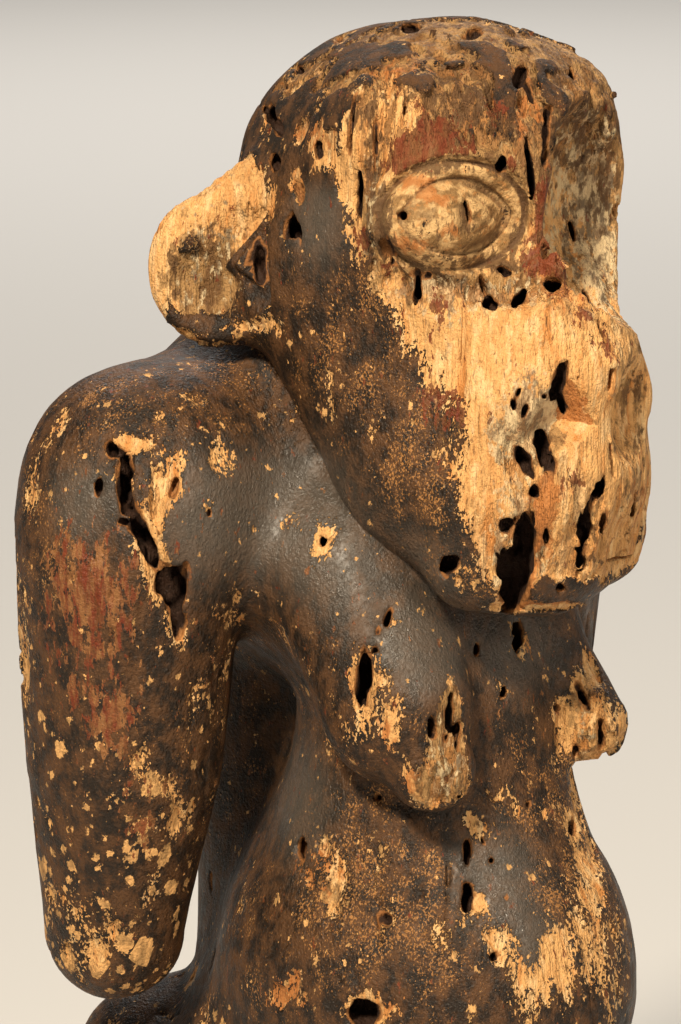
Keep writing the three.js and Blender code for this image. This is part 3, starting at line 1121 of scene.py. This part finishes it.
def head_wood(x, y, z):
    level = head(x, y, z)
    by_ear = (np.abs(x - EAR[0]) < 30) & (np.abs(z - EAR[2]) < 26)
    bowl = ear_bowl(x[by_ear], y[by_ear], z[by_ear])
    wedge = ear_wedge(x[by_ear], y[by_ear], z[by_ear])
    level[by_ear] = blend(carve(level[by_ear], bowl, 1.0), wedge, 0.8)
    return level


def body_wood(x, y, z):
    return np.minimum(body(x, y, z), base_disc(x, y, z))


def skinned(wood, room, cell, deepest, faces, name):
    low, high = (np.array(corner) for corner in room)
    bricks = np.ceil((high - low) / (cell * BRICK)).astype(int)
    starts = np.stack(np.meshgrid(*[np.arange(n) for n in bricks], indexing="ij"), -1).reshape(-1, 3)
    middles = (low + (starts * BRICK + (BRICK - 1) / 2) * cell).astype(np.float32)
    rough_level = in_shares(wood, *middles.T)
    coarse = np.where(rough_level < 0, -FAR, FAR).astype(np.float32).reshape(bricks)
    level = coarse.repeat(BRICK, 0).repeat(BRICK, 1).repeat(BRICK, 2)
    half_brick = cell * BRICK * math.sqrt(3) / 2
    active = starts[np.abs(rough_level) < half_brick + deepest] * BRICK
    inner = np.stack(np.meshgrid(*[np.arange(BRICK)] * 3, indexing="ij"), -1).reshape(-1, 3)
    cells = (active[:, None, :] + inner[None]).reshape(-1, 3)
    x, y, z = ((low[axis] + cells[:, axis] * cell).astype(np.float32) for axis in range(3))
    level[tuple(cells.T)] = in_shares(worn_wood(wood, deepest), x, y, z)

    def window(centre, reach):
        """The cells round a place, and where they lie."""
        first = np.maximum(((centre - reach - low) / cell).astype(int), 0)
        last = np.minimum(((centre + reach - low) / cell).astype(int) + 2, level.shape)
        lines = [low[axis] + np.arange(first[axis], last[axis]) * cell for axis in range(3)]
        cut = tuple(slice(a, b) for a, b in zip(first, last))
        return cut, np.meshgrid(*[line.astype(np.float32) for line in lines], indexing="ij")

    for hole in holes:
        cut, spots = window(hole[0], hole_reach(hole) * 1.4 + 1)
        if min(spots[0].shape) == 0:
            continue
        gap = hole_distance(hole, *spots) + edge_noise(hole, *spots)
        level[cut] = np.maximum(level[cut], -gap)
    cut, spots = window(nostril_place, 20)
    if min(spots[0].shape) > 0:
        level[cut] = np.maximum(level[cut], -nostril_pyramid(*spots))

    heights = low[2] + np.arange(level.shape[2]) * cell
    level = np.clip(np.maximum(level, -heights), -FAR, FAR).astype(np.float32)
    grid = openvdb.FloatGrid(FAR)
    grid.copyFromArray(level)
    points, _, quads = grid.convertToPolygons(isovalue=0.0, adaptivity=0.0)
    points = low + points.astype(float) * cell
    points[points[:, 2] < 0.5 * cell, 2] = 0
    mesh = bpy.data.meshes.new(name)
    mesh.from_pydata(points * METRE, [], quads.tolist())
    thing = bpy.data.objects.new(name, mesh)
    bpy.context.scene.collection.objects.link(thing)
    thinning = thing.modifiers.new("thinning", "DECIMATE")
    thinning.ratio = min(faces / (2 * len(quads)), 1)
    return thing


def settled(thing):
    """Turns an object's modifiers into its mesh."""
    depsgraph = bpy.context.evaluated_depsgraph_get()
    shaped = bpy.data.meshes.new_from_object(thing.evaluated_get(depsgraph))
    thing.modifiers.clear()
    thing.data = shaped


figure = skinned(body_wood, BODY_ROOM, BODY_CELL, BODY_WEAR, BODY_FACES, "carved_figure")
settled(figure)
head_skin = skinned(head_wood, HEAD_ROOM, HEAD_CELL, HEAD_WEAR, HEAD_FACES, "carved_head")
settled(head_skin)
joining = figure.modifiers.new("joining", "BOOLEAN")
joining.operation = "UNION"
joining.solver = "MANIFOLD"
joining.object = head_skin
settled(figure)
bpy.data.objects.remove(head_skin)
mesh = figure.data
mesh.name = "carved_figure"

# Crumbs that the wear cut loose, and pockets that it closed, are dropped: the figure is one body.
whole = bmesh.new()
whole.from_mesh(mesh)
lowest = min(whole.verts, key=lambda vert: vert.co.z)
kept = {lowest}
front = [lowest]
while front:
    vert = front.pop()
    for edge in vert.link_edges:
        other = edge.other_vert(vert)
        if other not in kept:
            kept.add(other)
            front.append(other)
loose = [vert for vert in whole.verts if vert not in kept]
bmesh.ops.delete(whole, geom=loose, context="VERTS")
whole.to_mesh(mesh)
whole.free()
mesh.shade_smooth()

# What the finish needs to know at each point: how bare and how deep in a hole it is, and the coloured
# patches that lie there.
spots = np.zeros(len(mesh.vertices) * 3)
mesh.vertices.foreach_get("co", spots)
x, y, z = (spots.reshape(-1, 3) / METRE).T
depth_below = -worn(x, y, z, form(x, y, z))
rim = np.zeros(len(x))
bored = np.zeros(len(x))
for number, hole in enumerate(holes):
    reach = hole_reach(hole) + 5
    near = np.flatnonzero(
        (np.abs(x - hole[0][0]) < reach[0])
        & (np.abs(y - hole[0][1]) < reach[1])
        & (np.abs(z - hole[0][2]) < reach[2])
    )
    gap = hole_distance(hole, x[near], y[near], z[near])
    share = 0.5 + 0.5 * math.sin(2.4 * number)
    rim[near] = np.maximum(rim[near], share * smooth(2.8, 0.6, gap))
    depth = np.linalg.norm(hole[1][:, 2])
    sunk = smooth(2.2, 3.5, depth) * (depth_below[near] - 0.4) / (0.36 * depth)
    inside = smooth(0.7, 0.3, gap + edge_noise(hole, x[near], y[near], z[near]))
    bored[near] = np.maximum(bored[near], inside * np.clip(sunk, 0, 1))
turned, _, orbit, lid, beside_eye = eye_frame(x, y, z)
orbit_line = np.exp(-((orbit / GROOVE_WIDTH) ** 2)) * beside_eye * (0.55 + 0.45 * smooth(2, 9, turned))
lid_line = 0.8 * np.exp(-(((lid + 0.2) / 0.45) ** 2)) * beside_eye
cut_side = nostril_pyramid(x, y, z)
in_nostril = (np.abs(cut_side) < 0.6) & (depth_below > 0.5) & (form(x, y, z) < 0)
in_nostril &= np.linalg.norm(np.stack([x, y, z], 1) - nostril_place, axis=1) < 20
bored *= ~in_nostril
facet_offsets = np.stack([x, y, z], 1) - nostril_deepest
facet = np.argmax(np.stack([facet_offsets @ side for side in nostril_sides]), axis=0)
marks = {
    "bareness": bareness(x, y, z) + 0.7 * rim,
    "bored": bored,
    "eye": smooth(1.6, 0.8, orbit) * beside_eye,
    "eye_grooves": np.clip(np.maximum(eye_carving(x, y, z) / 1.9, np.maximum(orbit_line, lid_line)), 0, 1),
    "glazed": glazed_spots(x, y, z) * ~in_nostril + 1.6 * in_nostril * (facet == 0),
    "splintered": np.clip(splintered_spots(x, y, z), 0, 1.3) * (1 - beside_eye),
    "stain": stained_spots(x, y, z)
    + 0.5 * orbit_line
    + 0.22 * channel_carving(x, y, z)
    + 0.30 * smooth(402, 418, z)
    # painted shade: the deepest cut creases of the eaten eye hollow are darkened
    + 1.2 * eaten_hollow(x, y, z) * smooth(0.16, 0.03, np.abs(hollow_folds(x, y, z)))
    + 0.3 * np.exp(-((ear_bowl(x, y, z) / 0.9) ** 2)) * (x < -30),
    "red": red_spots(x, y, z) * (1 - smooth(1.8, 1.0, orbit) * beside_eye),
    "worn_red": smooth(340, 320, z),
    # Worn smooth and polished crust: glossier, with a grey painted sheen in its colour.
    "polish": polish_and_sheen_spots(x, y, z) + 0.25 * smooth(0, 40, x) - smooth(390, 412, z),
    "speckled": speckled_spots(x, y, z)
    + 0.5 * smooth(0, 40, x) * smooth(300, 330, z)
    - smooth(392, 408, z),
    "pale": pale_spots(x, y, z) * ~in_nostril
    + 0.7 * eaten_hollow(x, y, z)
    + 1.8 * in_nostril * (facet > 2),
    "weathered": weathered_spots(x, y, z)
    + 0.2 * eaten_hollow(x, y, z)
    + 0.5 * smooth(395, 420, z)
    + 0.5 * in_nostril * (facet == 1),
    "blotches": 0.3 + 0.7 * smooth(330, 200, z) * smooth(45, 60, np.abs(x)) + 0.2 * smooth(200, 120, z),
}
for name, values in marks.items():
    mark = mesh.attributes.new(name, "FLOAT", "POINT")
    mark.data.foreach_set("value", np.asarray(values, np.float32))

# The finish: bare wood runs from straw to orange brown in streaks down the fibre, olive brown and grey
# where it has weathered. The crust is nearly black, with fine worn specks. Where it is worn smooth and
# polished, its colour is lifted to grey: that grey is painted sheen.
STRAW = (0.57, 0.315, 0.118, 1)
ORANGE_WOOD = (0.46, 0.19, 0.050, 1)
WEATHERED_TAN = (0.31, 0.175, 0.066, 1)
WEATHERED_BROWN = (0.125, 0.062, 0.022, 1)
PALE_WOOD = (0.56, 0.43, 0.25, 1)
GREY_WOOD = (0.15, 0.11, 0.068, 1)
CREAM_WOOD = (0.66, 0.44, 0.215, 1)
# Dark brown for stains and streaks, and for the painted shade in the creases of the eaten eye hollow.
STAIN_AND_SHADE_BROWN = (0.075, 0.036, 0.014, 1)
CRUST = (0.012, 0.007, 0.004, 1)
BROWN_CRUST = (0.074, 0.033, 0.012, 1)
# The grey of the polished crust is painted sheen.
RUBBED_SHEEN_CRUST = (0.080, 0.066, 0.053, 1)
SPECK = (0.40, 0.185, 0.055, 1)
RED_LACQUER = (0.130, 0.022, 0.006, 1)
RED_BROWN = (0.120, 0.040, 0.012, 1)
GLAZE = (0.36, 0.125, 0.030, 1)
BROWN_STREAK = (0.22, 0.095, 0.032, 1)
EYE_CREAM = (0.52, 0.33, 0.145, 1)
EYE_OLIVE = (0.19, 0.105, 0.038, 1)
BORE_WOOD = (0.26, 0.105, 0.030, 1)
# Near black for deep inside the holes: painted shade.
HOLE_SHADE_DARK = (0.026, 0.010, 0.004, 1)
FINEST_SPOT = 0.18
WOOD_ROUGHNESS = 0.72
CRUST_SHEEN = 0.27
POLISH_ROUGHNESS = 0.36
RELIEF_STRENGTH = 0.9

finish = bpy.data.materials.new("aged_wood")
finish.use_nodes = True
tree = finish.node_tree
shader = tree.nodes["Principled BSDF"]


def add(kind, inputs, **settings):
    node = tree.nodes.new(kind)
    for name, value in settings.items():
        setattr(node, name, value)
    for name, value in inputs.items():
        if isinstance(value, bpy.types.NodeSocket):
            tree.links.new(value, node.inputs[name])
        else:
            node.inputs[name].default_value = value
    return node


def maths(operation, a, b=0.0):
    return add("ShaderNodeMath", {0: a, 1: b}, operation=operation).outputs[0]


def times(a, b):
    return maths("MULTIPLY", a, b)


def mark(name):
    return add("ShaderNodeAttribute", {}, attribute_name=name).outputs["Fac"]


def spread(value, low, high, out_low=0.0, out_high=1.0):
    inputs = {"Value": value, "From Min": low, "From Max": high, "To Min": out_low, "To Max": out_high}
    return add("ShaderNodeMapRange", inputs, interpolation_type="SMOOTHSTEP").outputs["Result"]


def mixed(share, a, b):
    node = add("ShaderNodeMix", {"Factor": share}, data_type="RGBA")
    for index, value in ((6, a), (7, b)):
        if isinstance(value, bpy.types.NodeSocket):
            tree.links.new(value, node.inputs[index])
        else:
            node.inputs[index].default_value = value
    return node.outputs[2]


place = add("ShaderNodeTexCoord", {}).outputs["Object"]


def pattern(size, long=1.0, detail=2, roughness=0.5):
    """A noise with spots of that size in mm, longer down the fibre, and finer ones, down to the finest
    that can be seen. The ones left out don't change the strength of the rest."""
    scale = 1 / (size * METRE)
    stretched = add("ShaderNodeMapping", {"Vector": place, "Scale": (scale, scale, scale / long)})
    seen = min(detail, round(math.log2(size / FINEST_SPOT)))
    inputs = {"Vector": stretched.outputs[0], "Scale": 1.0, "Detail": seen, "Roughness": roughness}
    noise = add("ShaderNodeTexNoise", inputs).outputs["Fac"]
    strengths = [roughness**step for step in range(detail + 1)]
    share = sum(strengths[: seen + 1]) / sum(strengths)
    inputs = {0: noise, 1: share, 2: 0.5 - 0.5 * share}
    return add("ShaderNodeMath", inputs, operation="MULTIPLY_ADD").outputs[0]


def shifted(value, noise, by):
    """A mark moved up and down by a noise, to break up its edge."""
    return maths("ADD", value, spread(noise, 0.25, 0.75, -by, by))


gone = shifted(mark("bareness"), pattern(0.9, 1.6, 6, 0.72), 0.46)
bare = spread(gone, -0.03, 0.03)
lip = spread(gone, -0.16, 0.02)

fibre_streaks = pattern(0.9, 26.0, 5, 0.65)
broad_streaks = pattern(4.0, 9.0, 4, 0.6)
mottles = pattern(4.5, 1.8, 6, 0.62)
straw = mixed(spread(broad_streaks, 0.48, 0.68), STRAW, ORANGE_WOOD)
straw = mixed(spread(pattern(3.0, 5.0, 4, 0.6), 0.50, 0.64, 0.0, 0.8), straw, CREAM_WOOD)
straw = mixed(spread(fibre_streaks, 0.50, 0.70, 0.0, 0.55), straw, ORANGE_WOOD)
straw = mixed(spread(pattern(0.7, 9.0, 4), 0.60, 0.70, 0.0, 0.6), straw, STAIN_AND_SHADE_BROWN)
weathered = mixed(spread(mottles, 0.43, 0.58), WEATHERED_TAN, WEATHERED_BROWN)
weathered = mixed(spread(pattern(0.9, 3.0, 5, 0.7), 0.54, 0.66, 0.0, 0.8), weathered, STAIN_AND_SHADE_BROWN)
weathered_share = spread(shifted(mark("weathered"), pattern(3.4, 1.6, 5, 0.65), 0.55), 0.28, 0.62)
wood_colour = mixed(weathered_share, straw, weathered)
pale_colour = mixed(spread(pattern(3.2, 1.4, 5, 0.62), 0.44, 0.60), PALE_WOOD, GREY_WOOD)
pale_share = spread(shifted(mark("pale"), pattern(2.0, 1.8, 5, 0.68), 0.75), 0.45, 0.85, 0.0, 0.85)
wood_colour = mixed(pale_share, wood_colour, pale_colour)
layers = pattern(2.8, 4.5, 5, 0.62)
upper_flakes = spread(layers, 0.49, 0.51)
lower_flakes = spread(layers, 0.57, 0.585)
flake_edges = spread(maths("ABSOLUTE", maths("SUBTRACT", layers, 0.5)), 0.0, 0.014, 1.0, 0.0)
splintered = mark("splintered")
wood_colour = mixed(times(times(splintered, upper_flakes), 0.35), wood_colour, ORANGE_WOOD)
wood_colour = mixed(times(times(splintered, lower_flakes), 0.5), wood_colour, WEATHERED_BROWN)
wood_colour = mixed(times(times(splintered, flake_edges), 0.6), wood_colour, STAIN_AND_SHADE_BROWN)
glaze_share = spread(shifted(mark("glazed"), pattern(3.0, 1.8, 4, 0.6), 0.5), 0.35, 0.80, 0.0, 0.85)
wood_colour = mixed(glaze_share, wood_colour, GLAZE)
eye_colour = mixed(spread(pattern(4.5, 0.8, 3, 0.55), 0.42, 0.58), EYE_CREAM, EYE_OLIVE)
eye_colour = mixed(spread(pattern(2.0, 0.7, 3, 0.6), 0.52, 0.70, 0.0, 0.5), eye_colour, ORANGE_WOOD)
eye_colour = mixed(times(glaze_share, 0.8), eye_colour, GLAZE)
eye_colour = mixed(spread(mark("eye_grooves"), 0.35, 0.85, 0.0, 0.9), eye_colour, STAIN_AND_SHADE_BROWN)
wood_colour = mixed(times(mark("eye"), 0.9), wood_colour, eye_colour)
# Darker brown from stains, along the eye's grooves and the channel, on the crown, and as painted shade in
# the creases of the eaten eye hollow.
stain_and_shade_share = spread(shifted(mark("stain"), pattern(1.8, 2.2, 5, 0.66), 0.7), 0.40, 0.85, 0.0, 0.85)
wood_colour = mixed(stain_and_shade_share, wood_colour, STAIN_AND_SHADE_BROWN)

crust_colour = mixed(spread(pattern(5.0, 1.5, 6, 0.68), 0.40, 0.62), CRUST, BROWN_CRUST)
# Polished crust is turned grey: painted sheen.
rubbed_sheen = spread(mark("polish"), 0.0, 1.0, 0.0, 0.75)
crust_colour = mixed(rubbed_sheen, crust_colour, RUBBED_SHEEN_CRUST)
speck_share = maths("SUBTRACT", mark("speckled"), mark("polish"))
speck_share = shifted(speck_share, pattern(7.0, 1.4, 4, 0.62), 0.9)
speck_level = maths("ADD", pattern(0.55, 1.4, 5, 0.75), spread(speck_share, -0.6, 1.4, -0.10, 0.05))
crust_colour = mixed(spread(speck_level, 0.535, 0.64, 0.0, 0.75), crust_colour, SPECK)

red_share = spread(shifted(mark("red"), pattern(2.4, 2.5, 5, 0.7), 0.7), 0.50, 0.60)
colour = mixed(bare, crust_colour, wood_colour)


def blotches(size, most, offset):
    """Round spots where the crust has come off, up to that share of their spacing in mm."""
    scale = 1 / (size * METRE)
    settings = {"Vector": place, "Scale": (scale, scale, 0.75 * scale), "Location": (offset, 0, 0)}
    moved = add("ShaderNodeMapping", settings)
    cells = add("ShaderNodeTexVoronoi", {"Vector": moved.outputs[0], "Scale": 1.0})
    chance = add("ShaderNodeTexWhiteNoise", {"Vector": cells.outputs["Color"]}).outputs["Value"]
    reach = times(maths("POWER", chance, 2.2), mark("blotches"))
    reach = times(reach, most)
    wobble = spread(pattern(0.28 * size, 1.4, 4, 0.65), 0.2, 0.8, -0.22, 0.22)
    edge = maths("SUBTRACT", maths("ADD", reach, wobble), cells.outputs["Distance"])
    return spread(edge, -0.01, 0.04)


blotch = maths("MAXIMUM", blotches(6.5, 0.62, 0.0), blotches(3.0, 0.55, 3.7))
blotch_colour = mixed(spread(pattern(2.0, 2.0, 4), 0.42, 0.62), STRAW, WEATHERED_TAN)
colour = mixed(times(blotch, maths("SUBTRACT", 1.0, bare)), colour, blotch_colour)

red_colour = mixed(spread(pattern(1.6, 4.0, 4, 0.7), 0.42, 0.6), RED_LACQUER, RED_BROWN)
worn_red = times(mark("worn_red"), spread(pattern(2.2, 6.0, 5, 0.68), 0.44, 0.60))
red_colour = mixed(worn_red, red_colour, BROWN_STREAK)
colour = mixed(times(red_share, 0.9), colour, red_colour)
bored = mark("bored")
colour = mixed(spread(bored, 0.0, 0.2, 0.0, 0.9), colour, BORE_WOOD)
# Deeper in, the holes are painted near black: painted shade.
colour = mixed(spread(bored, 0.25, 0.8), colour, HOLE_SHADE_DARK)
tree.links.new(colour, shader.inputs["Base Color"])

dry = maths("MAXIMUM", bare, blotch)
dry = maths("MAXIMUM", dry, spread(bored, 0.0, 0.2))
dry = times(dry, maths("SUBTRACT", 1.0, times(red_share, 0.7)))
polished = spread(shifted(mark("polish"), pattern(6.0, 1.5, 4), 0.35), 0.0, 1.0)
dull = spread(pattern(2.5, 1.5, 4), 0.35, 0.65, 0.46, 0.62)
dull = maths("ADD", dull, spread(mark("polish"), -1.0, 0.0, 0.24, 0.0))
gloss = maths("SUBTRACT", dull, times(polished, 0.24))
roughness = add("ShaderNodeMix", {"Factor": dry, "A": gloss, "B": WOOD_ROUGHNESS}).outputs["Result"]
tree.links.new(roughness, shader.inputs["Roughness"])
glints = spread(pattern(1.1, 1.1, 3), 0.40, 0.64, 0.04, 0.34)
coated = times(times(polished, maths("SUBTRACT", 1.0, dry)), glints)
tree.links.new(coated, shader.inputs["Coat Weight"])

fibre_height = times(times(fibre_streaks, bare), 1.8)
fibre_height = times(fibre_height, maths("SUBTRACT", 1.0, times(mark("eye"), 0.8)))
pebbles = times(pattern(0.9, 1.2, 5, 0.72), 1.15)
pebbles = times(pebbles, spread(mark("polish"), 0.0, 1.0, 1.0, 0.8))
step_height = times(lip, -0.35)
height = maths("ADD", maths("ADD", fibre_height, pebbles), step_height)
flake_steps = maths("ADD", times(upper_flakes, -0.7), times(lower_flakes, -0.6))
height = maths("ADD", height, times(times(flake_steps, splintered), bare))
bump = add("ShaderNodeBump", {"Height": height, "Distance": METRE, "Strength": RELIEF_STRENGTH})
tree.links.new(bump.outputs[0], shader.inputs["Normal"])

shader.inputs["Specular IOR Level"].default_value = CRUST_SHEEN
shader.inputs["Coat Roughness"].default_value = POLISH_ROUGHNESS
mesh.materials.clear()
mesh.materials.append(finish)

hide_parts("figure")
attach(figure, "root")
